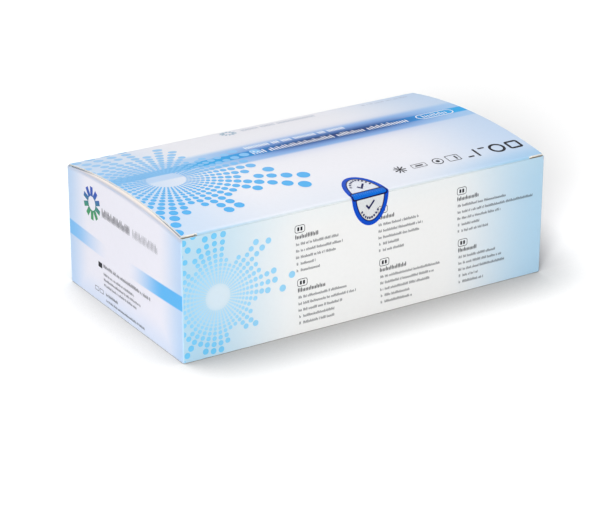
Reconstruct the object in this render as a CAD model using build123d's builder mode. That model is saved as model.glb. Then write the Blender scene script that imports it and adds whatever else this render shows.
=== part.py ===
from build123d import *
import os
from math import acos, cos, pi, sqrt, tan

# Sealed folding carton for a kit of 25 tests, in millimetres. The origin is the middle of the base: X runs
# along the long side, Y from the front panel to the back panel, and Z upwards.

# Driving dimensions of the carton
length = 240.0  # outside, from end panel to end panel
depth = 133.0  # outside, from front panel to back panel
panel_height = 72.6  # base to the cut top edge of the front panel
board = 0.5  # thickness of the board
crease_radius = 0.8  # outside of a bent crease

# Driving dimensions of the lid, which the full carton bows upwards
crown_rise = 6.4  # middle of the lid above the back crease
fold_step = 1.4  # front fold line above the front panel's cut edge
fold_radius = 1.8  # outside of the roll between lid and tuck flap
tuck_gap = 0.25  # between the front panel and the tuck flap behind it
tuck_gap_depth = 2.0  # how far down that gap stays open
lid_margin = 0.4  # lid's cut end behind the dust flap's bend

# Driving dimensions of the dust flaps under the lid's ends
flap_lean = 0.6  # how far a flap's raised middle leans in
flap_bend_radius = 0.7  # where a flap turns in under the lid
end_crease_drop = 0.9  # end panel's top crease below the front panel's cut edge, at the corners
crease_bow = 4.0  # rise of that crease in mid depth
crease_line_radius = 0.85  # pressed line along that crease
crease_line_depth = 0.25
corner_gap = 0.3  # between the lid and a dust flap, near the lid's ends
corner_gap_reach = 3.0  # how far that gap goes in from the lid's end

# Driving dimensions of the slit locks, where the lid's front fold is cut through at each end
left_slit = 9.2
right_slit = 7.4
slit_set_back = 0.2  # lid's cut edge behind the tuck flap's outer face
flap_set_back = 0.15  # dust flap's cut edge behind the lid's
shoulder_drop = 1.0  # tuck flap's shoulder below the front panel's cut edge
slit_hole_width = 1.8  # where the left slit has opened at its inner end
slit_hole_height = 0.9
slit_hole_depth = 3.0

# Driving dimensions of the glued side seam and base
seam_line = 0.3  # open line beside a cut edge
base_overlap = 9.0  # how far each base flap's hook reaches past the middle
hook_length = 28.0  # slanted stretch between the two hooks
end_gap_length = 16.0  # slanted end of a base flap, measured at its middle
base_margin = 1.4  # from the base's creases to its lines
pressed_depth = 0.2  # pressed diagonal creases in the base
pressed_width = 0.9

# Driving dimensions of the seal label
label_width = 24.4
label_height = 39.4  # unbent
label_film = 0.1
label_x = -0.5  # label's middle from the carton's middle
label_shift = 1.2  # label's middle past the fold line, on to the lid
label_turn = 3.0  # degrees

# Places that follow from them
front_y = -depth / 2
back_y = depth / 2
end_x = length / 2
tuck_y = front_y + board + tuck_gap
slit_y = tuck_y + slit_set_back
flap_start_y = slit_y + flap_set_back
flap_end_y = back_y - board
tuck_base = panel_height - tuck_gap_depth
fold_height = panel_height + fold_step
lid_half_length = end_x - flap_lean - lid_margin
filling_half_length = lid_half_length - corner_gap_reach
left_slit_x = left_slit - lid_half_length
right_slit_x = lid_half_length - right_slit

# The lid's outer line is one arc over the fold line, the crown and the back crease.
lid_arc = ThreePointArc((tuck_y, fold_height), (0, panel_height + crown_rise), (back_y, panel_height))
lid_radius = lid_arc.radius
lid_centre = lid_arc.arc_center


def lid_point(y, below=0.0):
    """Point at y on the lid's outer line, or on the line that lies a distance below it."""
    radius = lid_radius - below
    return (y, lid_centre.Y + sqrt(radius**2 - (y - lid_centre.X) ** 2))


def lid_points(start_y, end_y, below=0.0):
    """Start, middle and end of a stretch of that line."""
    return [lid_point(y, below) for y in (start_y, (start_y + end_y) / 2, end_y)]


def section_under_lid(start_x, start_y, end_y, below):
    """Section at start_x, from the tuck flap's foot up to the line below the lid's outer line."""
    start, middle, end = lid_points(start_y, end_y, below)
    with BuildSketch(Plane.YZ.offset(start_x)) as section:
        with BuildLine():
            ThreePointArc(start, middle, end)
            Polyline(end, (end_y, tuck_base), (start_y, tuck_base), start)
        make_face()
    return section.sketch


# Outline in plan: three corners are bent creases, and the back right one is the glued seam's cut edge.
with BuildSketch(Plane.XY) as plan:
    Rectangle(length, depth)
    seam_corner = plan.vertices().sort_by(Axis.X)[-2:].sort_by(Axis.Y)[-1]
    fillet([corner for corner in plan.vertices() if corner != seam_corner], crease_radius)

# Dust flaps: each rises from its end panel's bowed top crease and turns in under the lid's end.
end_crease_height = panel_height - end_crease_drop
flap_rise = lid_point(0, board + corner_gap)[1] - end_crease_height - crease_bow
crease_sweep = crease_bow * flap_lean / flap_rise
cutter_width = 4 * board

with BuildPart() as dust_flaps:
    extrude(section_under_lid(-end_x, flap_start_y, flap_end_y, board + corner_gap), amount=length)
    for side in (-1, 1):
        lean = Vector(-side * flap_lean, 0, flap_rise).normalized()
        outward = Vector(0, side, 0).cross(lean)
        with BuildSketch(Plane((side * end_x, 0, end_crease_height), x_dir=outward, z_dir=lean)):
            with BuildLine():
                ThreePointArc((0, front_y), (crease_sweep, 0), (0, back_y))
                Polyline((0, back_y), (cutter_width, back_y), (cutter_width, front_y), (0, front_y))
            make_face()
        extrude(amount=flap_rise + crease_bow + board, mode=Mode.SUBTRACT)
    flap_bends = dust_flaps.edges().filter_by(lambda edge: edge.length > depth * 0.9).sort_by(Axis.Z)[-2:]
    fillet(flap_bends, flap_bend_radius)

# Lid between the slits: its front fold rolls over into the tuck flap, behind the front panel.
with BuildSketch(Plane.YZ.offset(left_slit_x)) as rolled_section:
    with BuildLine():
        ThreePointArc(*lid_points(tuck_y, back_y))
        Polyline((back_y, panel_height), (back_y, tuck_base), (tuck_y, tuck_base), (tuck_y, fold_height))
    make_face()
    fillet(rolled_section.vertices().group_by(Axis.X)[-1].sort_by(Axis.Y)[-1], crease_radius)
    fillet(rolled_section.vertices().group_by(Axis.X)[0].sort_by(Axis.Y)[-1], fold_radius)

# The carton, one folded sheet sealed with its contents
with BuildPart() as carton:
    # Walls and contents up to the tuck flap's foot, and the front panel above that
    extrude(plan.sketch, amount=panel_height)
    with BuildSketch(Plane.XY.offset(tuck_base)):
        with Locations((0, board / 2)):
            Rectangle(length, depth - board)
    extrude(amount=tuck_gap_depth, mode=Mode.SUBTRACT)

    # Dust flaps, and what lies under the lid's ends
    add(dust_flaps.part)
    filling_section = section_under_lid(-filling_half_length, flap_start_y, flap_end_y, board)
    extrude(filling_section, amount=2 * filling_half_length)

    # Lid, with its ends cut free of the tuck flap by the slits
    extrude(rolled_section.sketch, amount=right_slit_x - left_slit_x)
    for start_x, slit in ((-lid_half_length, left_slit), (right_slit_x, right_slit)):
        outer = lid_points(slit_y, back_y)
        inner = lid_points(slit_y, flap_end_y, board)
        with BuildSketch(Plane.YZ.offset(start_x)) as lid_section:
            with BuildLine():
                ThreePointArc(*outer)
                Polyline(outer[-1], (back_y, tuck_base), (flap_end_y, tuck_base), inner[-1])
                ThreePointArc(*inner)
                Line(inner[0], outer[0])
            make_face()
            fillet(lid_section.vertices().group_by(Axis.X)[-1].sort_by(Axis.Y)[-1], crease_radius)
        extrude(amount=slit)

    # Shoulders of the tuck flap under the slits, and the corner posts of the end panels
    with BuildSketch(Plane.XY.offset(tuck_base)):
        with Locations((0, tuck_y + board / 2)):
            Rectangle(2 * lid_half_length, board)
    extrude(amount=tuck_gap_depth - shoulder_drop)
    post_width = end_x - lid_half_length
    for start_y, end_y, drop in ((front_y, flap_start_y, 0), (flap_end_y, back_y, board + corner_gap)):
        with BuildSketch(Plane.XY.offset(tuck_base)):
            for side in (-1, 1):
                with Locations((side * (end_x - post_width / 2), (start_y + end_y) / 2)):
                    Rectangle(post_width, end_y - start_y)
        extrude(amount=tuck_gap_depth - drop)

    # Hole at the inner end of the left slit
    with BuildSketch(Plane.XZ.offset(-tuck_y)):
        with Locations((left_slit_x - slit_hole_width / 2, panel_height + slit_hole_height / 2)):
            SlotOverall(slit_hole_width, slit_hole_height)
    extrude(amount=-slit_hole_depth, mode=Mode.SUBTRACT)

    # Bent and cut corners all the way up, and the base's bent creases
    extrude(plan.sketch, amount=panel_height + crown_rise + board, mode=Mode.INTERSECT)
    fillet(carton.faces().sort_by(Axis.Z)[0].edges(), crease_radius)

    # Pressed line along each end panel's top crease
    for side in (-1, 1):
        line_x = side * (end_x + crease_line_radius - crease_line_depth)
        with BuildLine(Plane.YZ.offset(line_x)) as crease:
            ThreePointArc(
                (front_y - board, end_crease_height),
                (0, end_crease_height + crease_bow),
                (back_y + board, end_crease_height),
            )
        with BuildSketch(Plane(crease.line @ 0, z_dir=crease.line % 0)):
            Circle(crease_line_radius)
        sweep(path=crease.line, mode=Mode.SUBTRACT)

    # Cut edge of the glued side seam, on the back panel's right
    with BuildSketch(Plane.XZ.offset(-back_y)):
        with Locations((end_x - board - seam_line / 2, panel_height / 2)):
            Rectangle(seam_line, panel_height - 2 * base_margin)
    extrude(amount=board, mode=Mode.SUBTRACT)

    # Glued base: two long flaps hook into each other, and at two corners the board inside shows.
    half_hook = hook_length / 2
    line_end_x = end_x - base_margin
    line_end_y = back_y - base_margin
    with BuildSketch(Plane.XY) as base_lines:
        with BuildLine() as hooks:
            Polyline(
                (-line_end_x, base_overlap),
                (-half_hook, base_overlap),
                (half_hook, -base_overlap),
                (line_end_x, -base_overlap),
            )
        trace(hooks.line, line_width=seam_line)
        for turn in (1, -1):
            with BuildLine():
                Polyline(
                    (-turn * line_end_x, turn * base_overlap),
                    (-turn * line_end_x, turn * line_end_y),
                    (-turn * (line_end_x - end_gap_length), turn * base_overlap),
                    close=True,
                )
            make_face()
    extrude(amount=board, mode=Mode.SUBTRACT)
    crease_reach = line_end_y - base_overlap
    with BuildSketch(Plane.XY):
        for turn in (1, -1):
            with BuildLine() as diagonal:
                Line(
                    (-turn * line_end_x, -turn * line_end_y),
                    (-turn * (line_end_x - crease_reach), -turn * base_overlap),
                )
            trace(diagonal.line, line_width=pressed_width)
    extrude(amount=pressed_depth, mode=Mode.SUBTRACT)

carton.part.label = "carton"

# Seal label: a thin oval film down the front panel, over the fold and up the lid. Its bend starts at the
# front panel's cut edge and ends on the lid's outer line, clear of the roll under it.
corner_height = lid_point(front_y)[1]
bend_turn = acos((lid_centre.X - front_y) / lid_radius)
label_fold_radius = (corner_height - panel_height) / tan(bend_turn / 2)
bend_drop = label_fold_radius * (1 - cos(pi / 4))
label_reach = label_height / 2 + label_shift

# Oval outline, upright for the part on the front panel and level for the part on the lid
with BuildPart() as label_outline:
    with BuildSketch(Plane.XZ.offset(-front_y + board)):
        with Locations((label_x, corner_height + label_shift)):
            Ellipse(label_width / 2, label_height / 2, rotation=label_turn)
        with Locations((label_x, corner_height - bend_drop)):
            below_bend = (Align.CENTER, Align.MAX)
            Rectangle(2 * label_width, 2 * label_height, align=below_bend, mode=Mode.INTERSECT)
    extrude(amount=-fold_radius - board)
    with BuildSketch(Plane.XY.offset(corner_height - bend_drop)):
        with Locations((label_x, front_y + label_shift)):
            Ellipse(label_width / 2, label_height / 2, rotation=label_turn)
    extrude(amount=crown_rise)

with BuildPart() as seal_label:
    with BuildSketch(Plane.YZ.offset(label_x - label_width)):
        with BuildLine() as film_line:
            Line((front_y, corner_height - label_height), (front_y, corner_height))
            ThreePointArc(*lid_points(front_y, front_y + label_reach))
            fillet(film_line.vertices().group_by(Axis.X)[0].sort_by(Axis.Y)[-1], label_fold_radius)
            offset(amount=label_film, side=Side.LEFT)
        make_face()
    extrude(amount=2 * label_width)
    add(label_outline.part, mode=Mode.INTERSECT)

seal_label.part.label = "seal_label"

os.makedirs("parts", exist_ok=True)
for piece in (carton.part, seal_label.part):
    export_step(piece, f"parts/{piece.label}.step")
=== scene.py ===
from math import asin, cos, pi, radians, sin, sqrt

import bmesh
import bpy
from mathutils import Matrix, Vector


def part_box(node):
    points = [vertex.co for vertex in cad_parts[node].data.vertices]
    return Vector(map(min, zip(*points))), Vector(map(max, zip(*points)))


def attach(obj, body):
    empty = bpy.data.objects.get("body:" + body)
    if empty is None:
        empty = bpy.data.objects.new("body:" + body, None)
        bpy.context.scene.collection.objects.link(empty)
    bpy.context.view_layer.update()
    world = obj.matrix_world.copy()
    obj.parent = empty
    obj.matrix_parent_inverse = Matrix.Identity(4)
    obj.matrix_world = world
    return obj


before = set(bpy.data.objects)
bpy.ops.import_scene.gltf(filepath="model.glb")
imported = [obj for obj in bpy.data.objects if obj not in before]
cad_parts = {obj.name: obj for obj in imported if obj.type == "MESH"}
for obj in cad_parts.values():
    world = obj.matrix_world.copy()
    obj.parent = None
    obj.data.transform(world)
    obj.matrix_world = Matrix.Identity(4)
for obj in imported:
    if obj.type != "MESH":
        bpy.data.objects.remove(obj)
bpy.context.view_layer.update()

mm = 0.001
scene = bpy.context.scene
scene.view_settings.view_transform = "Standard"

# Camera at the photograph's viewing angle. It stands above the carton's front left corner, with a long lens,
# so that the long edges hardly run together.
camera_data = bpy.data.cameras.new("photo_camera")
camera_data.sensor_width = 36.0
camera_data.lens = 139.39
camera_data.clip_start = 0.05
camera = bpy.data.objects.new("photo_camera", camera_data)
scene.collection.objects.link(camera)
scene.camera = camera
camera_place = Vector((-0.6649, -1.0577, 0.5407))
look = Vector((0.4876, 0.7810, -0.3902)).normalized()
camera_right = Vector((0.8485, -0.5291, 0.0013))
camera_right = (camera_right - camera_right.dot(look) * look).normalized()
camera_axes = Matrix((camera_right, camera_right.cross(look), -look)).transposed()
camera.matrix_world = Matrix.Translation(camera_place) @ camera_axes.to_4x4()

# Studio: a white table without an edge, which keeps the carton's soft shadow, and a white room behind it.
# The table adds only what it needs to look white to the camera and in reflections. Where the camera and
# reflections see it, its paper has a painted shadow close to the carton, darker on the side away from the
# window.
white = (1.0, 1.0, 1.0, 1.0)
table_reach = 4.0
table_drop = 0.05 * mm
table_white = 0.86
table_glow = 0.18
room_light = 0.44
contact_reach = 56 * mm
contact_depth = 0.97
contact_samples = 12
window_side = Vector((-0.22, 0.10, 1.0)).normalized()


def node_adder(tree):
    """Function that adds a node to this tree, with given inputs and settings."""
    def node(kind, inputs=None, **settings):
        made = tree.nodes.new(kind)
        for setting, value in settings.items():
            setattr(made, setting, value)
        for socket, value in (inputs or {}).items():
            if isinstance(value, bpy.types.NodeSocket):
                tree.links.new(value, made.inputs[socket])
            else:
                made.inputs[socket].default_value = value
        return made

    return node


def new_material(name):
    """Empty node material, with the function that adds nodes to it."""
    material = bpy.data.materials.new(name)
    material.use_nodes = True
    material.node_tree.nodes.clear()
    return material, node_adder(material.node_tree)


def maths(operation, *values):
    """Output of a Math node in the material at hand."""
    return node("ShaderNodeMath", dict(enumerate(values)), operation=operation).outputs[0]


def grade(value, start, end, first, last):
    """From first at start to last at end, in a straight line."""
    return node("ShaderNodeMapRange", {0: value, 1: start, 2: end, 3: first, 4: last}).outputs[0]


def seen_directly():
    """1 for what the camera sees itself, in a mirror or through glass, and 0 for light on its way."""
    path = node("ShaderNodeLightPath").outputs
    first = maths("MAXIMUM", path["Is Camera Ray"], path["Is Glossy Ray"])
    return maths("MAXIMUM", first, path["Is Transmission Ray"])


table_mesh = bpy.data.meshes.new("table")
table_form = bmesh.new()
bmesh.ops.create_grid(table_form, x_segments=8, y_segments=8, size=table_reach)
table_form.to_mesh(table_mesh)
table_form.free()
table = bpy.data.objects.new("table", table_mesh)
table.location.z = -table_drop
scene.collection.objects.link(table)
table_paper, node = new_material("table_paper")
# painted shadow: near the carton, ambient occlusion darkens the paper and cuts its glow, only for what the
# camera and reflections see
towards_window = node("ShaderNodeCombineXYZ", dict(enumerate(window_side)))
open_to_light = node("ShaderNodeAmbientOcclusion", {
    "Distance": contact_reach, "Normal": towards_window.outputs[0]}, samples=contact_samples)
openness = grade(open_to_light.outputs["AO"], 0.0, 1.0, 1 - contact_depth, 1.0)
seen = seen_directly()
painted_shadow_share = maths("MULTIPLY", maths("SUBTRACT", 1.0, openness), seen)
paper_level = maths("MULTIPLY", maths("SUBTRACT", 1.0, painted_shadow_share), table_white)
paper_tone = node("ShaderNodeCombineColor", {0: paper_level, 1: paper_level, 2: paper_level})
paper = node("ShaderNodeBsdfDiffuse", {"Color": paper_tone.outputs[0], "Roughness": 1.0})
glow_level = maths("MULTIPLY", maths("MULTIPLY", seen, table_glow), openness)
glow = node("ShaderNodeEmission", {"Color": white, "Strength": glow_level})
both = node("ShaderNodeAddShader", {0: paper.outputs[0], 1: glow.outputs[0]})
node("ShaderNodeOutputMaterial", {"Surface": both.outputs[0]})
table_mesh.materials.append(table_paper)

room = bpy.data.worlds.new("room")
scene.world = room
room.use_nodes = True
room.node_tree.nodes.clear()
node = node_adder(room.node_tree)
room_level = grade(seen_directly(), 0.0, 1.0, room_light, 1.0)
room_glow = node("ShaderNodeBackground", {"Color": white, "Strength": room_level})
node("ShaderNodeOutputWorld", {"Surface": room_glow.outputs[0]})

carton_middle = Vector((0, 0, 40 * mm))
for name, place, width, power in (
    ("window", (-0.25, 0.55, 1.90), 0.9, 15.0),
    ("key_screen", (-1.40, -1.55, 0.72), 0.8, 31.0),
):
    lamp_data = bpy.data.lights.new(name, "AREA")
    lamp_data.shape = "DISK"
    lamp_data.size = width
    lamp_data.energy = power
    lamp = bpy.data.objects.new(name, lamp_data)
    lamp.location = place
    lamp.rotation_mode = "QUATERNION"
    lamp.rotation_quaternion = (carton_middle - Vector(place)).to_track_quat("-Z", "Y")
    scene.collection.objects.link(lamp)

# Carton: clay-coated board, printed on its outer side, then cut, creased and folded. The print's colour
# fields lie in the coating, and the cut edges and the inner side show the board's cream pulp.
low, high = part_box("carton")
end_x, front_y, back_y = high.x, low.y, high.y
half_depth = 66.5 * mm
panel_top = 72.6 * mm
board = 0.5 * mm
lid_end = 119.0 * mm
lid_front = -65.75 * mm
lid_arc_y = -3.65827 * mm
lid_arc_z = -307.7 * mm
lid_arc_radius = 386.7173 * mm
roll_radius = 1.8 * mm
crease_end_z = 71.7 * mm
crease_rise = 4.0 * mm
panel_burst_x, panel_burst_z = -98.0 * mm, 34.6 * mm
coating_gloss = 0.50
bare_roughness = (0.85, 0.85, 0.85, 1.0)
print_specular = 0.08

printed_board, node = new_material("printed_board")


def product(*values):
    """All the values times each other."""
    total = values[0]
    for value in values[1:]:
        total = maths("MULTIPLY", total, value)
    return total


def ramp(value, start, end):
    """0 up to start and 1 from end, smooth between them."""
    smooth = node("ShaderNodeMapRange", {0: value, 1: start, 2: end}, interpolation_type="SMOOTHSTEP")
    return smooth.outputs[0]


def off_middle(value, middle, reach):
    """How far a value is from a middle, in parts of a reach."""
    return maths("DIVIDE", maths("SUBTRACT", value, middle), reach)


def length_of(across, upwards):
    """Length of a line that goes this far across and this far upwards."""
    return maths("SQRT", maths("ADD", product(across, across), product(upwards, upwards)))


def noise(vector, scale, detail):
    """Soft random values from 0 to 1, at a scale."""
    return node("ShaderNodeTexNoise", {"Vector": vector, "Scale": scale, "Detail": detail}).outputs["Fac"]


def colour_of(red, green, blue):
    """Colour from the 0 to 255 values of a screen."""
    def light(value):
        share = value / 255
        return share / 12.92 if share <= 0.04045 else ((share + 0.055) / 1.055) ** 2.4
    return (light(red), light(green), light(blue), 1.0)


def blend_colours(share, under, over, strength=1.0):
    """Colour under, with over laid on it by share times strength."""
    if strength != 1.0:
        share = maths("MULTIPLY", share, strength)
    mix = node("ShaderNodeMix", {0: share, 6: under, 7: over}, data_type="RGBA", clamp_factor=True)
    return mix.outputs[2]


def overprint(ground, *fields):
    """Ground with colour fields printed on it in turn, each with its share, strength and colour."""
    for share, strength, colour in fields:
        ground = blend_colours(share, ground, colour, strength)
    return ground


texture_places = node("ShaderNodeTexCoord").outputs
here = texture_places["Object"]
x, y, z = node("ShaderNodeSeparateXYZ", {0: here}).outputs
normal_x, normal_y, normal_z = node("ShaderNodeSeparateXYZ", {0: texture_places["Normal"]}).outputs
away_x, away_y = maths("ABSOLUTE", x), maths("ABSOLUTE", y)
drift = maths("MULTIPLY", maths("SUBTRACT", noise(here, 9.0, 2.0), 0.5), 14 * mm)
drifting_x = maths("ADD", x, drift)

# its lid: pale ground that turns blue towards both ends, a light band from end to end, a dark glow in it, and
# painted shade on the roll at its front
right_blue = ramp(drifting_x, 40 * mm, 125 * mm)
left_blue = ramp(drifting_x, -55 * mm, -120 * mm)
fold_blue = product(ramp(y, -50 * mm, -65.5 * mm), ramp(x, 20 * mm, 118 * mm))
# the lid a little darker and bluer towards its front
darker_to_front = ramp(y, -30 * mm, -66 * mm)
pale_band = product(ramp(y, -1.6 * mm, 1.2 * mm), ramp(y, 30.5 * mm, 23.5 * mm),
                    grade(drifting_x, -95 * mm, -50 * mm, 0.55, 1.0))
bright_band = product(ramp(y, 7.2 * mm, 8.8 * mm), ramp(y, 17.7 * mm, 16.0 * mm),
                      grade(drifting_x, -90 * mm, -60 * mm, 0.60, 1.0))
glow_x = off_middle(x, 28 * mm, 64 * mm)
glow_y = off_middle(y, 12.8 * mm, 13.5 * mm)
glow_reach = maths("ADD", maths("POWER", maths("ABSOLUTE", glow_x), 4.0), product(glow_y, glow_y, 1.6))
blue_glow = maths("EXPONENT", maths("MULTIPLY", glow_reach, -0.75))
dark_glow = maths("EXPONENT", maths("MULTIPLY", glow_reach, -2.6))
# painted shade on the roll at the lid's front: darker and greyer than the lid where the board turns down,
# bluer towards its ends
roll = product(ramp(z, 74.1 * mm, 73.2 * mm), ramp(y, -62.5 * mm, -64.0 * mm))
roll_shade_tone = blend_colours(ramp(maths("ABSOLUTE", drifting_x), 50 * mm, 105 * mm), colour_of(214, 224, 228),
                          colour_of(160, 206, 232))
lid_print = overprint(
    colour_of(238, 238, 244),
    (right_blue, 1.0, colour_of(196, 216, 241)),
    (left_blue, 1.0, colour_of(204, 222, 244)),
    (fold_blue, 0.90, colour_of(140, 195, 235)),
    (darker_to_front, 0.30, colour_of(206, 220, 236)),
    (pale_band, 0.92, colour_of(164, 202, 240)),
    (bright_band, 1.0, colour_of(54, 172, 234)),
    (blue_glow, 0.82, colour_of(52, 120, 212)),
    (dark_glow, 0.92, colour_of(30, 40, 98)),
    (roll, 0.75, roll_shade_tone))

# its front panel, and the back panel like it: nearly white in the middle and blue towards both ends
panel_side = maths("SUBTRACT", 1.0, maths("MULTIPLY", ramp(normal_y, 0.4, 0.6), 2.0))
panel_x = maths("MULTIPLY", drifting_x, panel_side)
clear_reach = 10.5 * mm
disc_x = off_middle(maths("MULTIPLY", x, panel_side), panel_burst_x, clear_reach)
disc_z = off_middle(z, panel_burst_z, clear_reach)
front_print = overprint(
    colour_of(236, 236, 235),
    (ramp(panel_x, 50 * mm, 122 * mm), 1.0, colour_of(176, 210, 232)),
    (ramp(panel_x, -40 * mm, -118 * mm), 1.0, colour_of(180, 212, 230)),
    (ramp(length_of(disc_x, disc_z), 1.0, 0.45), 0.75, colour_of(214, 226, 234)),
    (ramp(z, 58 * mm, 74 * mm), 0.15, colour_of(206, 228, 236)))

# its end panels: white with blue edges, and a blue stripe that fades out in the middle
across_end = maths("DIVIDE", y, half_depth)
sweep = maths("MULTIPLY", across_end, across_end)
stripe_z = maths("SUBTRACT", z, maths("MULTIPLY", sweep, 1.6 * mm))
stripe_fade = maths("MAXIMUM", ramp(y, -4 * mm, -46 * mm), maths("MULTIPLY", ramp(y, 18 * mm, 62 * mm), 0.75))
stripe = product(ramp(stripe_z, 28.8 * mm, 29.8 * mm), ramp(stripe_z, 38.8 * mm, 37.8 * mm), stripe_fade)
edge_blue = maths("MAXIMUM", ramp(away_y, 40 * mm, 68 * mm), maths("MULTIPLY", ramp(z, 18 * mm, 0.0), 0.45))
end_print = overprint(
    colour_of(231, 230, 239),
    (edge_blue, 0.85, colour_of(176, 206, 238)),
    (stripe, 1.0, colour_of(94, 180, 238)))

# what faces where, what was left without print: the dust flaps, the cut edges and the underside, and where
# shade is
# painted: the crease at the top of each end panel, the gap under the lid's ends, the foot of each slit and
# the front panel's cut top edge
facing_up = ramp(normal_z, 0.35, 0.65)
facing_side = ramp(maths("ABSOLUTE", normal_x), 0.6, 0.8)
underside = ramp(normal_z, -0.5, -0.8)
past_lid = ramp(away_x, lid_end + 0.02 * mm, lid_end + 0.08 * mm)
of_lid = product(ramp(z, 72.8 * mm, 73.0 * mm), maths("SUBTRACT", 1.0, past_lid))
crease_z = maths("MULTIPLY_ADD", maths("SUBTRACT", 1.0, sweep), crease_rise, crease_end_z)
above_crease = maths("SUBTRACT", z, crease_z)
dust_flap = product(past_lid, ramp(above_crease, 0.1 * mm, 0.5 * mm), ramp(away_y, 66.4 * mm, 66.0 * mm))
# painted shade: a grey band along the crease at the top of each end panel
crease_shade = product(past_lid, ramp(above_crease, -2.2 * mm, 0.1 * mm),
                       ramp(above_crease, 1.8 * mm, 0.4 * mm))
# painted shade: a dark line under the lid's ends, in the gap near both corners
from_arc_middle = maths("SUBTRACT", y, lid_arc_y)
arc_height = maths("SQRT", maths("SUBTRACT", lid_arc_radius ** 2, product(from_arc_middle, from_arc_middle)))
under_lid = maths("SUBTRACT", maths("ADD", arc_height, lid_arc_z - board), z)
lid_gap_shade = product(past_lid, ramp(under_lid, 0.75 * mm, 0.35 * mm), ramp(away_y, 30 * mm, 52 * mm),
                  ramp(away_y, 65.5 * mm, 64.0 * mm))
lid_cut_end = product(facing_side, ramp(away_x, lid_end + 0.10 * mm, lid_end + 0.05 * mm),
                      ramp(z, panel_top - 0.4 * mm, panel_top))
# the front panel's cut top edge, darkened: partly the print's bleed, partly painted shade of the gap under
# the lid's roll
panel_cut_top = product(facing_up, ramp(z, panel_top + 0.10 * mm, panel_top + 0.02 * mm),
                        ramp(z, panel_top - 0.6 * mm, panel_top - 0.2 * mm))
slit_inside = product(ramp(normal_y, -0.6, -0.8), ramp(y, -66.25 * mm, -66.1 * mm),
                      ramp(away_x, 109.7 * mm, 109.8 * mm))
# painted shade at the foot of each slit, under its bare board
slit_foot_shade = product(slit_inside, ramp(z, 73.2 * mm, 72.9 * mm))
unprinted = maths("MAXIMUM", lid_cut_end, slit_inside)
bare_board = blend_colours(noise(here, 900.0, 4.0), colour_of(250, 246, 238), colour_of(238, 228, 214))
whole_print = overprint(
    front_print,
    (facing_side, 1.0, end_print),
    (facing_up, 1.0, lid_print),
    (of_lid, 1.0, lid_print),
    (dust_flap, 1.0, colour_of(234, 224, 216)),
    (crease_shade, 0.70, colour_of(180, 186, 204)),
    (lid_gap_shade, 0.80, colour_of(74, 98, 114)),
    (unprinted, 1.0, bare_board),
    (slit_foot_shade, 1.0, colour_of(140, 128, 112)),
    (panel_cut_top, 1.0, blend_colours(0.30, front_print, colour_of(150, 176, 184))),
    (underside, 1.0, colour_of(232, 228, 220)))

# the finish of the coating: satin, with the press's fine mottle and soft waves of the board
mottle, waves = noise(here, 420.0, 3.0), noise(here, 38.0, 2.0)
worn_print = blend_colours(ramp(mottle, 0.35, 0.75), whole_print,
                           blend_colours(0.03, whole_print, (0.5, 0.5, 0.5, 1.0)))
coat_roughness = maths("MULTIPLY_ADD", mottle, 0.12, coating_gloss)
roughness = blend_colours(maths("MAXIMUM", unprinted, underside), coat_roughness, bare_roughness)
bump = node("ShaderNodeBump", {"Strength": 0.25, "Distance": 0.4 * mm,
                               "Height": maths("MULTIPLY_ADD", mottle, 0.10, waves)})
coated = node("ShaderNodeBsdfPrincipled", {"Base Color": worn_print, "Roughness": roughness,
                                           "Normal": bump.outputs[0], "Specular IOR Level": print_specular})
node("ShaderNodeOutputMaterial", {"Surface": coated.outputs[0]})
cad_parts["carton"].material_slots[0].material = printed_board

# Bursts: rings of ink dots that grow outwards from a clear disc, one on the lid and one on each long panel.
# They are printed: each dot is a film of ink that ends at the panel's cut or creased edge.
ink_lift = 0.05 * mm
left_slit_end, right_slit_end = -109.8 * mm, 111.6 * mm
slit_margin = 0.01 * mm
lid_foot = 0.1 * mm
lid_corner_foot = 0.96 * mm
lid_back = 132.5 * mm
roll_bends = [bend * mm for bend in (0.4, 0.8, 1.2, 1.6, 2.0, 2.3, 3.4)]
panel_ink_end, panel_ink_foot, panel_ink_top = 119.2 * mm, 0.9 * mm, 72.5 * mm


def geometry_tree(name, inputs):
    """Geometry Nodes tree with named inputs, a mesh output and two functions that add nodes to it."""
    group = bpy.data.node_groups.new(name, "GeometryNodeTree")
    sockets = {}
    for label, kind, value in (*inputs, ("Material", "Material", None)):
        socket = group.interface.new_socket(label, in_out="INPUT", socket_type="NodeSocket" + kind)
        if value is not None:
            socket.default_value = value
        sockets[label] = socket.identifier
    group.interface.new_socket("Geometry", in_out="OUTPUT", socket_type="NodeSocketGeometry")
    add = node_adder(group)

    def calc(operation, *values):
        return add("ShaderNodeMath", dict(enumerate(values)), operation=operation).outputs[0]

    return group, sockets, add, calc


def end_tree(add, given, copies):
    """The last nodes of a tree: its copies become one mesh, in the ink that it is given."""
    real = add("GeometryNodeRealizeInstances", {"Geometry": copies.outputs[0]})
    inked = add("GeometryNodeSetMaterial", {"Geometry": real.outputs[0], "Material": given["Material"]})
    add("NodeGroupOutput", {0: inked.outputs[0]})


def grown(group, sockets, values, material):
    """Plain mesh that a tree gives for these values."""
    seedling = bpy.data.objects.new("seedling", bpy.data.meshes.new("seedling"))
    scene.collection.objects.link(seedling)
    modifier = seedling.modifiers.new("growth", "NODES")
    modifier.node_group = group
    for label, value in values.items():
        modifier[sockets[label]] = value
    modifier[sockets["Material"]] = material
    depsgraph = bpy.context.evaluated_depsgraph_get()
    mesh = bpy.data.meshes.new_from_object(seedling.evaluated_get(depsgraph))
    bpy.data.objects.remove(seedling)
    return mesh


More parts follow.
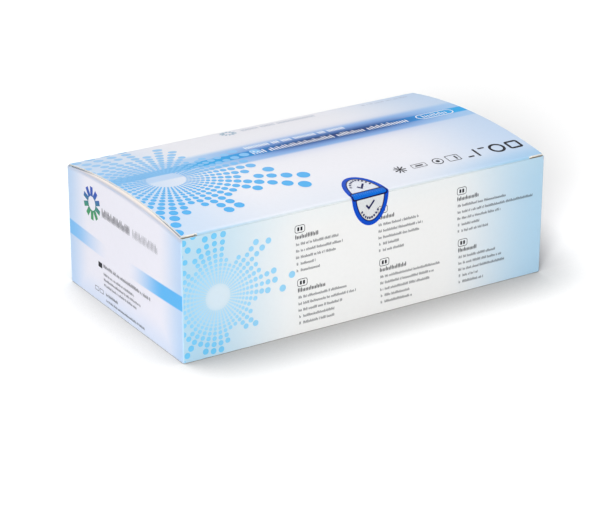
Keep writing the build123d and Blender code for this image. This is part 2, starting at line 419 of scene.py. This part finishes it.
def trimmed(mesh, left, right, bottom, top, bends=()):
    """Copy of the flat print cut off at a rectangle's four sides, with edges where it bends, in metres."""
    mesh = mesh.copy()
    form = bmesh.new()
    form.from_mesh(mesh)
    cuts = [((0, bend, 0), (0, 1, 0), False) for bend in bends]
    cuts += [((left, 0, 0), (-1, 0, 0), True), ((right, 0, 0), (1, 0, 0), True),
             ((0, bottom, 0), (0, -1, 0), True), ((0, top, 0), (0, 1, 0), True)]
    for place, outward, clear in cuts:
        parts = form.verts[:] + form.edges[:] + form.faces[:]
        bmesh.ops.bisect_plane(form, geom=parts, plane_co=place, plane_no=outward, clear_outer=clear)
    form.to_mesh(mesh)
    form.free()
    return mesh


def on_lid(across, along):
    """Point on the lid at x, and along the lid from the line over the front panel towards the back."""
    flat_y = front_y + along
    roll_y = lid_front + roll_radius
    start = asin((roll_y - lid_arc_y) / (lid_arc_radius - roll_radius))
    arc_start_y = lid_arc_y + lid_arc_radius * sin(start)
    if flat_y >= arc_start_y or not left_slit_end < across < right_slit_end:
        turn = asin((flat_y - lid_arc_y) / lid_arc_radius)
        radius = lid_arc_radius + ink_lift
        return Vector((across, lid_arc_y + radius * sin(turn), lid_arc_z + radius * cos(turn)))
    roll_z = lid_arc_z + (lid_arc_radius - roll_radius) * cos(start)
    turn = start - (arc_start_y - flat_y) / roll_radius
    radius = roll_radius + ink_lift
    if turn > -pi / 2:
        return Vector((across, roll_y + radius * sin(turn), roll_z + radius * cos(turn)))
    return Vector((across, roll_y - radius, roll_z - (-pi / 2 - turn) * roll_radius))


def on_front(across, up):
    """Point on the front panel at x, and up from the table."""
    return Vector((across, front_y - ink_lift, up))


def on_back(across, up):
    """Point on the back panel, seen from behind."""
    return Vector((-across, back_y + ink_lift, up))


def on_left_end(across, up):
    """Point on the left end panel, across from its middle towards the front."""
    return Vector((-end_x - ink_lift, -across, up))


def on_right_end(across, up):
    """Point on the right end panel, across from its middle towards the back."""
    return Vector((end_x + ink_lift, across, up))


def printed(name, meshes, panel):
    """One piece of print from flat meshes, laid on a panel of the carton."""
    form = bmesh.new()
    materials = []
    for mesh in meshes:
        first_new = len(form.faces)
        form.from_mesh(mesh)
        form.faces.ensure_lookup_table()
        for face in form.faces[first_new:]:
            used = mesh.materials[face.material_index]
            if used not in materials:
                materials.append(used)
            face.material_index = materials.index(used)
    for vert in form.verts:
        vert.co = panel(vert.co.x, vert.co.y)
    ink = bpy.data.meshes.new(name)
    form.to_mesh(ink)
    form.free()
    for material in materials:
        ink.materials.append(material)
    piece = bpy.data.objects.new(name, ink)
    scene.collection.objects.link(piece)
    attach(piece, "root")


burst_tree, burst_inputs, add, calc = geometry_tree("dot_burst", (
    ("Rays", "Int", 40), ("Rings", "Int", 16), ("Growth", "Float", 1.14), ("Clear Radius", "Float", 11 * mm),
    ("Dot Share", "Float", 0.116), ("Centre", "Vector", (0, 0, 0)), ("Full Rings", "Float", 6.0),
    ("Arm Rings", "Float", 6.0), ("Phase", "Float", 0.0), ("Seed", "Int", 1)))
given = add("NodeGroupInput").outputs
count = calc("MULTIPLY", given["Rays"], given["Rings"])
grid = add("GeometryNodeMeshLine", {"Count": count})
index = add("GeometryNodeInputIndex").outputs[0]
ring = calc("FLOOR", calc("DIVIDE", index, given["Rays"]))
ray = calc("MODULO", index, given["Rays"])
radius = calc("MULTIPLY", given["Clear Radius"], calc("POWER", given["Growth"], calc("ADD", ring, 0.5)))
first_ray = 0.35
turn = calc("MULTIPLY", calc("DIVIDE", calc("ADD", ray, first_ray), given["Rays"]), 2 * pi)
spot = add("ShaderNodeCombineXYZ", {0: calc("MULTIPLY", radius, calc("COSINE", turn)),
                                    1: calc("MULTIPLY", radius, calc("SINE", turn))})
spot = add("ShaderNodeVectorMath", {0: spot.outputs[0], 1: given["Centre"]}, operation="ADD")
spread = add("GeometryNodeSetPosition", {"Geometry": grid.outputs[0], "Position": spot.outputs[0]})
# how many rings each ray has: arms of uneven length on the right, and all the rings on the left and at the
# top, with a dot left out here and there
wide_arms, narrow_arms, narrow_phase = 3.0, 8.0, 2.3
wide_share, narrow_share, arm_base = 0.30, 0.34, 0.42
left_tilt, left_start, left_rings = 0.35, -0.15, 30.0
stray_share = 0.10
long_wave = calc("SINE", calc("ADD", calc("MULTIPLY", turn, wide_arms), given["Phase"]))
short_wave = calc("SINE", calc("ADD", calc("MULTIPLY", turn, narrow_arms),
                               calc("MULTIPLY", given["Phase"], narrow_phase)))
wave = calc("ADD", calc("MULTIPLY", long_wave, wide_share), calc("MULTIPLY", short_wave, narrow_share))
leftwards = calc("MAXIMUM", calc("SUBTRACT", left_start, calc("COSINE", calc("ADD", turn, left_tilt))), 0.0)
reach = calc("ADD", given["Full Rings"], calc("MULTIPLY", calc("ADD", wave, arm_base), given["Arm Rings"]))
reach = calc("ADD", reach, calc("MULTIPLY", leftwards, left_rings))
past_reach = calc("GREATER_THAN", ring, reach)
chance = add("FunctionNodeRandomValue", {"ID": index, "Seed": given["Seed"]}, data_type="FLOAT")
stray_gap = calc("MULTIPLY", calc("LESS_THAN", chance.outputs[1], stray_share),
                 calc("GREATER_THAN", ring, given["Full Rings"]))
drop = add("FunctionNodeCompare", {0: calc("ADD", past_reach, stray_gap), 1: 0.5}, data_type="FLOAT",
           operation="GREATER_THAN")
kept = add("GeometryNodeDeleteGeometry", {"Geometry": spread.outputs[0], "Selection": drop.outputs[0]},
           domain="POINT")
# round dots outside, which lengthen and run together into fine rays near the clear disc
fine_rings, lengthening, narrowing = 5.0, 0.044, 0.036
dot = add("GeometryNodeMeshCircle", {"Vertices": 20, "Radius": 0.5}, fill_type="NGON")
nearness = calc("MAXIMUM", calc("SUBTRACT", 1.0, calc("DIVIDE", ring, fine_rings)), 0.0)
length_share = calc("ADD", given["Dot Share"], calc("MULTIPLY", nearness, lengthening))
width_share = calc("SUBTRACT", given["Dot Share"], calc("MULTIPLY", nearness, narrowing))
dot_size = add("ShaderNodeCombineXYZ", {0: calc("MULTIPLY", radius, length_share),
                                        1: calc("MULTIPLY", radius, width_share), 2: 1.0})
along_ray = add("ShaderNodeCombineXYZ", {2: turn})
dots = add("GeometryNodeInstanceOnPoints", {"Points": kept.outputs[0], "Instance": dot.outputs[0],
                                            "Rotation": along_ray.outputs[0], "Scale": dot_size.outputs[0]})
end_tree(add, given, dots)


def ink_material(name, tone_at):
    """Printed ink, whose colour tone_at works out from the place's x, y and z."""
    global node
    material, node = new_material(name)
    here = node("ShaderNodeTexCoord").outputs["Object"]
    tone = tone_at(*node("ShaderNodeSeparateXYZ", {0: here}).outputs)
    speckle = noise(here, 500.0, 2.0)
    tone = blend_colours(speckle, tone, (0.9, 0.9, 0.9, 1.0), 0.03)
    gloss = maths("MULTIPLY_ADD", speckle, 0.12, 0.48)
    film = node("ShaderNodeBsdfPrincipled", {"Base Color": tone, "Roughness": gloss,
                                             "Specular IOR Level": print_specular})
    node("ShaderNodeOutputMaterial", {"Surface": film.outputs[0]})
    return material


def plain_ink(name, red, green, blue):
    """Ink of one colour."""
    return ink_material(name, lambda *place: colour_of(red, green, blue))


def lid_dot_tone(across, along, up):
    """Strong blue at the lid's front, darker on its roll by painted shade, and paler towards the back."""
    tone = blend_colours(ramp(along, -45 * mm, 60 * mm), colour_of(86, 178, 238), colour_of(160, 206, 244))
    return blend_colours(ramp(along, -63.7 * mm, -65.5 * mm), tone, colour_of(16, 160, 226), 0.85)


def panel_dot_tone(across, along, up):
    """Blue that pales towards the clear disc and towards the panel's middle."""
    from_disc = maths("ADD", maths("ABSOLUTE", across), panel_burst_x)
    reach = length_of(from_disc, maths("SUBTRACT", up, panel_burst_z))
    tone = blend_colours(ramp(reach, 7 * mm, 34 * mm), colour_of(170, 215, 240), colour_of(108, 194, 236))
    return blend_colours(ramp(from_disc, 6 * mm, -30 * mm), tone, colour_of(170, 214, 240), 0.55)


lid_blue = ink_material("lid_dot_ink", lid_dot_tone)
panel_blue = ink_material("panel_dot_ink", panel_dot_tone)

lid_burst = grown(burst_tree, burst_inputs, {
    "Rays": 40, "Rings": 16, "Growth": 1.142, "Clear Radius": 11.2 * mm, "Centre": (-92 * mm, 66.5 * mm, 0),
    "Full Rings": 9.0, "Arm Rings": 6.0, "Phase": 2.4, "Seed": 9}, lid_blue)
printed("lid_burst", [
    trimmed(lid_burst, left_slit_end + slit_margin, lid_end, lid_foot, lid_back, roll_bends),
    trimmed(lid_burst, -lid_end, left_slit_end - slit_margin, lid_corner_foot, lid_back)], on_lid)

panel_burst = grown(burst_tree, burst_inputs, {
    "Rays": 40, "Rings": 14, "Growth": 1.142, "Clear Radius": 7.8 * mm,
    "Centre": (panel_burst_x, panel_burst_z, 0), "Full Rings": 7.5, "Arm Rings": 6.0, "Phase": 0.7,
    "Seed": 14}, panel_blue)
panel_burst = trimmed(panel_burst, -panel_ink_end, panel_ink_end, panel_ink_foot, panel_ink_top)
printed("front_burst", [panel_burst], on_front)
printed("back_burst", [panel_burst], on_back)

# Words: rows of fine upright strokes with gaps between them, as long and as high as printed words of their
# size are. They are printed in dark ink on the panels, under small tags, and in white and grey on the lid.


def rounded_patch(add, corner, steps):
    """Filled square, 1 by 1, with rounded corners."""
    outline = add("GeometryNodeCurvePrimitiveQuadrilateral", {"Width": 1.0, "Height": 1.0})
    rounded = add("GeometryNodeFilletCurve", {"Curve": outline.outputs[0], "Radius": corner, "Count": steps},
                  mode="POLY")
    return add("GeometryNodeFillCurve", {"Curve": rounded.outputs[0]}, mode="NGONS")


word_tree, word_inputs, add, calc = geometry_tree("word_strokes", (
    ("Strokes", "Int", 20), ("Pitch", "Float", 1.0 * mm), ("Width", "Float", 0.5 * mm),
    ("Height", "Float", 1.2 * mm), ("Start", "Vector", (0, 0, 0)), ("Gap Share", "Float", 0.17),
    ("Tall Share", "Float", 0.4), ("Seed", "Int", 1)))
given = add("NodeGroupInput").outputs
line = add("GeometryNodeMeshLine", {"Count": given["Strokes"]})
index = add("GeometryNodeInputIndex").outputs[0]
place = add("ShaderNodeCombineXYZ", {0: calc("MULTIPLY", index, given["Pitch"])})
place = add("ShaderNodeVectorMath", {0: place.outputs[0], 1: given["Start"]}, operation="ADD")
row = add("GeometryNodeSetPosition", {"Geometry": line.outputs[0], "Position": place.outputs[0]})
# a stroke is left out as a gap by chance, but never the first two, and not next to another gap before it
chance = add("FunctionNodeRandomValue", {"ID": index, "Seed": given["Seed"]}, data_type="FLOAT")
before = add("FunctionNodeRandomValue", {"ID": calc("SUBTRACT", index, 1.0), "Seed": given["Seed"]},
             data_type="FLOAT")
gap = add("FunctionNodeCompare", {0: chance.outputs[1], 1: given["Gap Share"]}, data_type="FLOAT",
          operation="LESS_THAN")
no_gap_before = add("FunctionNodeCompare", {0: before.outputs[1], 1: given["Gap Share"]}, data_type="FLOAT",
                    operation="GREATER_EQUAL")
inside = add("FunctionNodeCompare", {0: index, 1: 1.5}, data_type="FLOAT", operation="GREATER_THAN")
drop = add("FunctionNodeBooleanMath", {0: gap.outputs[0], 1: no_gap_before.outputs[0]}, operation="AND")
drop = add("FunctionNodeBooleanMath", {0: drop.outputs[0], 1: inside.outputs[0]}, operation="AND")
words = add("GeometryNodeDeleteGeometry", {"Geometry": row.outputs[0], "Selection": drop.outputs[0]},
            domain="POINT")
# each stroke has rounded ends, and is as high as the row or a little lower
low_stroke = 0.72
tall_seed_step = 7.0
stroke = rounded_patch(add, 0.3, 1)
tall = add("FunctionNodeRandomValue", {"ID": index, "Seed": calc("ADD", given["Seed"], tall_seed_step)},
           data_type="FLOAT")
is_tall = calc("LESS_THAN", tall.outputs[1], given["Tall Share"])
first_tall = calc("LESS_THAN", index, 0.5)
rise = calc("ADD", low_stroke, calc("MULTIPLY", calc("MAXIMUM", is_tall, first_tall), 1 - low_stroke))
stroke_height = calc("MULTIPLY", given["Height"], rise)
stroke_size = add("ShaderNodeCombineXYZ", {0: given["Width"], 1: stroke_height, 2: 1.0})
foot = add("ShaderNodeCombineXYZ", {1: calc("MULTIPLY", stroke_height, 0.5)})
seated = add("GeometryNodeSetPosition", {"Geometry": words.outputs[0], "Offset": foot.outputs[0]})
strokes = add("GeometryNodeInstanceOnPoints", {"Points": seated.outputs[0], "Instance": stroke.outputs[0],
                                               "Scale": stroke_size.outputs[0]})
end_tree(add, given, strokes)

text_ink = plain_ink("text_ink", 58, 60, 68)
bold_ink = plain_ink("bold_text_ink", 22, 22, 32)
white_ink = plain_ink("white_ink", 246, 249, 253)
grey_ink = plain_ink("grey_ink", 176, 186, 204)


def word_row(start, base, length, height, ink, seed, weight=0.56, pitch_share=0.30, gap_share=0.11,
             tall_share=0.45):
    """Row of strokes from start, standing on base, in metres in the panel's plane."""
    pitch = height * pitch_share
    return grown(word_tree, word_inputs, {
        "Strokes": max(2, round(length / pitch)), "Pitch": pitch, "Width": pitch * weight, "Height": height,
        "Start": (start, base, 0), "Gap Share": gap_share, "Tall Share": tall_share, "Seed": seed}, ink)


def word_rows(panel_place, table):
    """Rows from a table in mm: start, base, length, height, ink, seed, and then the weight and the shares."""
    return [word_row(*panel_place(start, base), length * mm, height * mm, ink, seed, *shares)
            for start, base, length, height, ink, seed, *shares in table]


def flat_mesh(form, ink):
    """Flat mesh of one ink from a form, which it uses up."""
    mesh = bpy.data.meshes.new("flat_print")
    form.to_mesh(mesh)
    form.free()
    mesh.materials.append(ink)
    return mesh


def outline_shape(middle, width, height, corner, line, ink):
    """Flat frame with rounded corners and a thin line, or a full shape where the line is None."""
    corner_steps = 6

    def ring_points(half_width, half_height, radius):
        points = []
        for number, (side_x, side_y) in enumerate(((1, 1), (-1, 1), (-1, -1), (1, -1))):
            for step in range(corner_steps + 1):
                turn = (number + step / corner_steps) * pi / 2
                points.append((middle[0] + side_x * (half_width - radius) + radius * cos(turn),
                               middle[1] + side_y * (half_height - radius) + radius * sin(turn), 0))
        return points

    form = bmesh.new()
    outer = [form.verts.new(point) for point in ring_points(width / 2, height / 2, corner)]
    if line is None:
        form.faces.new(outer)
        return flat_mesh(form, ink)
    inner_corner = max(corner - line, 0.05 * corner)
    inner = [form.verts.new(point) for point in
             ring_points(width / 2 - line, height / 2 - line, inner_corner)]
    for this in range(len(outer)):
        following = (this + 1) % len(outer)
        form.faces.new((outer[this], outer[following], inner[following], inner[this]))
    return flat_mesh(form, ink)


def outline_shapes(panel_place, table):
    """Shapes from a table in mm: the middle's two places, width, height, corner, line and ink."""
    return [outline_shape(panel_place(across, upwards), width * mm, height * mm, corner * mm,
                          None if line is None else line * mm, ink)
            for across, upwards, width, height, corner, line, ink in table]


# columns of words on the front panel: three across and two down, each under its tag. Sizes are in mm, from
# the panel's left end and top edge.
column_starts = (71.2, 125.3, 179.2)
lower_shift = 1.7
heading_lengths = ((15.5, 11.5, 15.0), (18.0, 18.0, 13.5))
line_lengths = (
    ((28, 30.5, 26, 13, 16), (27.5, 30, 28, 14, 17.5), (34, 54, 31, 16.5, 22)),
    ((32, 38, 29.5, 24, 24), (41, 37, 34, 20.5, 22), (26, 31, 33, 14, 18.5)),
)
block_drop, tag_drop = 31.8, 32.0
heading_base, heading_height = 15.5, 2.8
heading_shares = (0.62, 0.36, 0.0, 0.3)
first_base, line_pitch, line_height = 19.4, 3.9, 1.9
text_indent = 3.4
wide_letter, narrow_letter = (0.3, 2.2), (0.8, 0.8)
wide_letters = 3
text_seed_step = 20
tag_across, tag_down, tag_bar_shift = 2.6, 9.6, 1.0


def front_place(from_left, down):
    """Place on the front panel, in metres, for millimetres from its left end and down from its top edge."""
    return from_left * mm - end_x, panel_top - down * mm


def column(from_left, top, heading_length, lengths, seed):
    """Heading and five lines of one block. Each line has its letter or sign first, and then its words."""
    table = [(from_left, top + heading_base, heading_length, heading_height, bold_ink, seed, *heading_shares)]
    for number, row_length in enumerate(lengths):
        base = top + first_base + line_pitch * number
        letter_start, letter_length = wide_letter if number < wide_letters else narrow_letter
        table += [(from_left + letter_start, base, letter_length, line_height, text_ink, seed + number),
                  (from_left + text_indent, base, row_length - text_indent, line_height, text_ink,
                   seed + number + text_seed_step)]
    return word_rows(front_place, table)


front_words, front_tags = [], []
for down in (0, 1):
    for across in (0, 1, 2):
        column_start = column_starts[across] + lower_shift * down
        front_words += column(column_start, block_drop * down, heading_lengths[down][across],
                              line_lengths[down][across], 100 + 40 * down + 11 * across)
        tag_middle, tag_level = column_start + tag_across, tag_down + tag_drop * down
        front_tags += outline_shapes(front_place, (
            (tag_middle, tag_level, 6.6, 4.6, 1.4, 0.34, bold_ink),
            (tag_middle - tag_bar_shift, tag_level, 1.3, 2.3, 0.35, None, bold_ink),
            (tag_middle + tag_bar_shift, tag_level, 1.3, 2.3, 0.35, None, bold_ink)))
printed("front_words", front_words + front_tags, on_front)
printed("back_words", front_words + front_tags, on_back)


def lid_place(from_left, along):
    """Place on the lid, in metres, for millimetres from its left end and along it from the front."""
    return from_left * mm - end_x, along * mm


# white title on the lid's band, and the grey rows behind it
printed("lid_words", [
    *word_rows(lid_place, (
        (92, 86.2, 69, 4.9, white_ink, 301, 0.60, 0.34, 0.09, 1.0),
        (91, 75.4, 108, 6.4, white_ink, 311, 0.50, 0.30, 0.08, 0.45),
        (209, 76.0, 17.5, 5.2, white_ink, 316, 0.46, 0.34, 0.0, 0.4))),
    *outline_shapes(lid_place, ((217.5, 78.6, 26, 8.4, 4.1, 0.7, white_ink),)),
    *word_rows(lid_place, (
        (112, 123.6, 51, 4.6, grey_ink, 321, 0.44, 0.36, 0.06, 1.0),
        (197, 124.2, 34, 3.2, grey_ink, 331, 0.42, 0.36)))], on_lid)

# Lid marks: one row of plain signs in dark ink at the lid's front right, printed with the words. They are
# strokes round a dot, a bar in a frame, a dot in a ring, a frame with a bar, three bars, a ring and a square.
marks_row = 17.3


def spokes(middle, inner, outer, width, number, ink, start_turn=0.0):
    """Short strokes that stand round a point, with sizes in mm."""
    form = bmesh.new()
    centre = Vector((*middle, 0))
    for count in range(number):
        turn = start_turn + 2 * pi * count / number
        ahead, beside = Vector((cos(turn), sin(turn), 0)), Vector((-sin(turn), cos(turn), 0))
        corners = [centre + ahead * reach * mm + beside * side * width * mm / 2
                   for reach, side in ((inner, 1), (inner, -1), (outer, -1), (outer, 1))]
        form.faces.new([form.verts.new(corner) for corner in reversed(corners)])
    return flat_mesh(form, ink)


printed("lid_marks", [
    spokes(lid_place(151, marks_row), 1.3, 4.0, 0.8, 9, bold_ink),
    *outline_shapes(lid_place, (
        (151, marks_row, 2.2, 2.2, 1.1, None, bold_ink),
        (164, marks_row, 10, 4.4, 1.0, 0.4, bold_ink),
        (164, marks_row, 5.2, 1.3, 0.4, None, bold_ink),
        (177, marks_row, 7, 7, 3.5, 0.6, bold_ink),
        (177, marks_row, 2.6, 2.6, 1.3, None, bold_ink),
        (187.6, marks_row, 8.6, 7, 0.8, 0.5, bold_ink),
        (189.4, marks_row, 1.2, 4.0, 0.3, None, bold_ink),
        (198.5, marks_row - 3.0, 4.0, 1.4, 0.5, None, bold_ink),
        (204.0, marks_row, 1.4, 9.0, 0.6, None, bold_ink),
        (209.5, marks_row + 3.6, 4.6, 1.3, 0.5, None, bold_ink),
        (218.6, marks_row, 10.4, 10.4, 5.2, 1.7, bold_ink),
        (230.4, marks_row, 9.2, 9.2, 1.8, 1.7, bold_ink)))], on_lid)

# Emblem: a plain ring of strokes, printed in blue that turns green at its foot, on both end panels, and a
# pale one at the lid's back. On the ends a bold row and a thin row stand beside it, and small rows below.
emblem_ink = ink_material("emblem_ink", lambda across, along, up: blend_colours(
    ramp(up, 66 * mm, 52 * mm), colour_of(48, 84, 176), colour_of(64, 148, 98)))
pale_emblem_ink = plain_ink("pale_emblem_ink", 158, 186, 206)


def end_place(from_left, down):
    """Place on an end panel, in metres, for millimetres from its left edge and down from its top edge."""
    return from_left * mm - back_y, panel_top - down * mm


end_words = [
    spokes(end_place(30, 14), 4.2, 10.0, 3.1, 10, emblem_ink, 0.31),
    *word_rows(end_place, (
        (42.5, 18.3, 33.5, 5.6, bold_ink, 401, 0.52, 0.27, 0.05, 0.75),
        (78.8, 18.3, 28, 5.6, text_ink, 411, 0.28, 0.27, 0.10, 0.75),
        (42, 49.2, 55.5, 2.4, bold_ink, 421, 0.50),
        (42, 53.8, 36, 1.8, text_ink, 431, 0.50),
        (42, 57.1, 44, 1.8, text_ink, 441, 0.50),
        (42, 60.4, 39, 1.8, text_ink, 451, 0.50),
        (44, 65.8, 14.5, 2.0, bold_ink, 461, 0.50),
        (44, 69.4, 46, 1.7, text_ink, 471, 0.50))),
    *outline_shapes(end_place, (
        (38, 48.7, 4.6, 3.2, 0.5, None, bold_ink),
        (33, 64.9, 4.6, 2.6, 0.5, 0.3, text_ink),
        (38.6, 64.9, 4.6, 2.6, 0.5, 0.3, text_ink)))]
printed("left_end_words", end_words, on_left_end)
printed("right_end_words", end_words, on_right_end)
printed("lid_emblem", [spokes(lid_place(102, 125.4), 2.4, 5.2, 1.2, 12, pale_emblem_ink, 0.26)], on_lid)

# Seal label: a clear self-adhesive film with a blue ring and a blue bar over the fold. It is printed in
# solid ink, and the carton shows through the clear fields between.
label_x, label_shift = -0.5 * mm, 1.2 * mm
label_half_width, label_half_height = 12.2 * mm, 19.7 * mm
label_turn = radians(3.0)
fold_z = lid_arc_z + sqrt(lid_arc_radius ** 2 - (front_y - lid_arc_y) ** 2)
ink_edge = 0.12 * mm
bar_tilt, bar_shift = 0.03, 1.15 * mm
most_cover, clear_share = 0.995, 0.80

label_film, node = new_material("label_film")
here = node("ShaderNodeTexCoord").outputs["Object"]
x, y, z = node("ShaderNodeSeparateXYZ", {0: here}).outputs
past_fold = maths("MAXIMUM", maths("SUBTRACT", y, front_y), 0.0)
below_fold = maths("MINIMUM", maths("SUBTRACT", z, fold_z), 0.0)
from_fold = maths("ADD", past_fold, below_fold)
from_x = maths("SUBTRACT", x, label_x)
from_up = maths("SUBTRACT", from_fold, label_shift)
turned_x = maths("ADD", maths("MULTIPLY", from_x, cos(label_turn)),
                 maths("MULTIPLY", from_up, sin(label_turn)))
turned_up = maths("SUBTRACT", maths("MULTIPLY", from_up, cos(label_turn)),
                  maths("MULTIPLY", from_x, sin(label_turn)))


def within_oval(margin):
    """1 inside the label's oval less a margin, and 0 outside it."""
    wide, high = label_half_width - margin, label_half_height - margin
    reach = length_of(maths("DIVIDE", turned_x, wide), maths("DIVIDE", turned_up, high))
    return ramp(reach, 1 + ink_edge / wide, 1 - ink_edge / wide)


def within_bar(half_length, half_height, corner):
    """1 inside the rounded bar over the fold, and 0 outside it."""
    bar_up = maths("SUBTRACT", from_fold, maths("MULTIPLY_ADD", from_x, bar_tilt, bar_shift))
    past_x = maths("MAXIMUM", maths("SUBTRACT", maths("ABSOLUTE", from_x), half_length - corner), 0.0)
    past_up = maths("MAXIMUM", maths("SUBTRACT", maths("ABSOLUTE", bar_up), half_height - corner), 0.0)
    return ramp(length_of(past_x, past_up), corner + ink_edge, corner - ink_edge)


field = within_oval(3.0 * mm)
bar = within_bar(11.7 * mm, 3.2 * mm, 1.6 * mm)
navy = colour_of(6, 4, 70)
ring_tone = blend_colours(noise(here, 300.0, 2.0), colour_of(0, 68, 190), colour_of(0, 82, 204), 0.5)
label_print = overprint(
    ring_tone,
    (within_oval(2.35 * mm), 1.0, navy),
    (field, 1.0, colour_of(244, 245, 250)),
    (bar, 1.0, navy),
    (within_bar(10.9 * mm, 2.3 * mm, 1.1 * mm), 1.0, colour_of(0, 100, 206)))
clear_field = product(field, maths("SUBTRACT", 1.0, bar))
cover = maths("SUBTRACT", most_cover, maths("MULTIPLY", clear_field, clear_share))
film_gloss = maths("MULTIPLY_ADD", noise(here, 260.0, 3.0), 0.10, 0.12)
film_bump = node("ShaderNodeBump", {"Strength": 0.2, "Distance": 0.3 * mm, "Height": noise(here, 70.0, 2.0)})
film = node("ShaderNodeBsdfPrincipled", {
    "Base Color": label_print, "Roughness": film_gloss, "Normal": film_bump.outputs[0],
    "Specular IOR Level": 0.1, "Alpha": cover})
node("ShaderNodeOutputMaterial", {"Surface": film.outputs[0]})
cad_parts["seal_label"].material_slots[0].material = label_film

# the print on the film: marks that follow the oval inside its ring, and a plain tick in each clear field
label_ink_lift = 0.15 * mm
bend_radius, bend_centre_y, bend_start_z = 1.505 * mm, -64.995 * mm, 72.6 * mm
bend_turn = 1.4076  # radians
marks_margin = 4.5 * mm
tick_size = 6.0 * mm


def on_label(across, along):
    """Point on the label at x, and along it from its fold: upwards on the lid, downwards on the front."""
    reach = fold_z - bend_start_z
    if along <= -reach:
        return Vector((across, front_y - label_ink_lift, fold_z + along))
    if along < reach:
        turn = (along + reach) / (2 * reach) * bend_turn
        radius = bend_radius + label_ink_lift
        return Vector((across, bend_centre_y - radius * cos(turn), bend_start_z + radius * sin(turn)))
    turn = asin((front_y + along - lid_arc_y) / lid_arc_radius)
    radius = lid_arc_radius + label_ink_lift
    return Vector((across, lid_arc_y + radius * sin(turn), lid_arc_z + radius * cos(turn)))


mark_tree, mark_inputs, add, calc = geometry_tree("oval_marks", (
    ("Count", "Int", 9), ("First Turn", "Float", 0.6), ("Last Turn", "Float", 2.5),
    ("Half Width", "Float", 9 * mm), ("Half Height", "Float", 15 * mm),
    ("Mark Size", "Vector", (1.0 * mm, 1.0 * mm, 1.0)), ("Centre", "Vector", (0, 0, 0))))
given = add("NodeGroupInput").outputs
line = add("GeometryNodeMeshLine", {"Count": given["Count"]})
index = add("GeometryNodeInputIndex").outputs[0]
step = calc("DIVIDE", calc("SUBTRACT", given["Last Turn"], given["First Turn"]),
            calc("SUBTRACT", given["Count"], 1.0))
turn = calc("ADD", given["First Turn"], calc("MULTIPLY", index, step))
spot = add("ShaderNodeCombineXYZ", {0: calc("MULTIPLY", given["Half Width"], calc("COSINE", turn)),
                                    1: calc("MULTIPLY", given["Half Height"], calc("SINE", turn))})
spot = add("ShaderNodeVectorMath", {0: spot.outputs[0], 1: given["Centre"]}, operation="ADD")
arc = add("GeometryNodeSetPosition", {"Geometry": line.outputs[0], "Position": spot.outputs[0]})
mark = rounded_patch(add, 0.25, 2)
facing_out = add("ShaderNodeCombineXYZ", {2: calc("SUBTRACT", turn, pi / 2)})
marks = add("GeometryNodeInstanceOnPoints", {"Points": arc.outputs[0], "Instance": mark.outputs[0],
                                             "Rotation": facing_out.outputs[0], "Scale": given["Mark Size"]})
end_tree(add, given, marks)

label_navy = plain_ink("label_navy_ink", 12, 10, 78)
label_light = plain_ink("label_light_ink", 30, 150, 240)


def tick(middle, size, ink):
    """Plain tick of two strokes."""
    form = bmesh.new()
    corners = ((-0.50, 0.02), (-0.36, 0.16), (-0.14, -0.12), (0.38, 0.50), (0.52, 0.38), (-0.13, -0.42))
    form.faces.new([form.verts.new((middle[0] + size * across, middle[1] + size * up, 0))
                    for across, up in reversed(corners)])
    return flat_mesh(form, ink)


label_marks = []
for first, last, number in ((0.62, 2.52, 10), (3.95, 5.45, 9)):
    label_marks.append(grown(mark_tree, mark_inputs, {
        "Count": number, "First Turn": first, "Last Turn": last,
        "Half Width": label_half_width - marks_margin, "Half Height": label_half_height - marks_margin,
        "Mark Size": (1.1 * mm, 1.4 * mm, 1.0), "Centre": (label_x, label_shift, 0)}, label_navy))
label_marks += [
    tick((label_x, 9.0 * mm), tick_size, label_navy),
    tick((label_x, -6.6 * mm), tick_size, label_navy),
    word_row(label_x - 9 * mm, 0.1 * mm, 18.5 * mm, 2.3 * mm, label_light, 511, 0.42, 0.62, 0.0)]
printed("label_marks", label_marks, on_label)
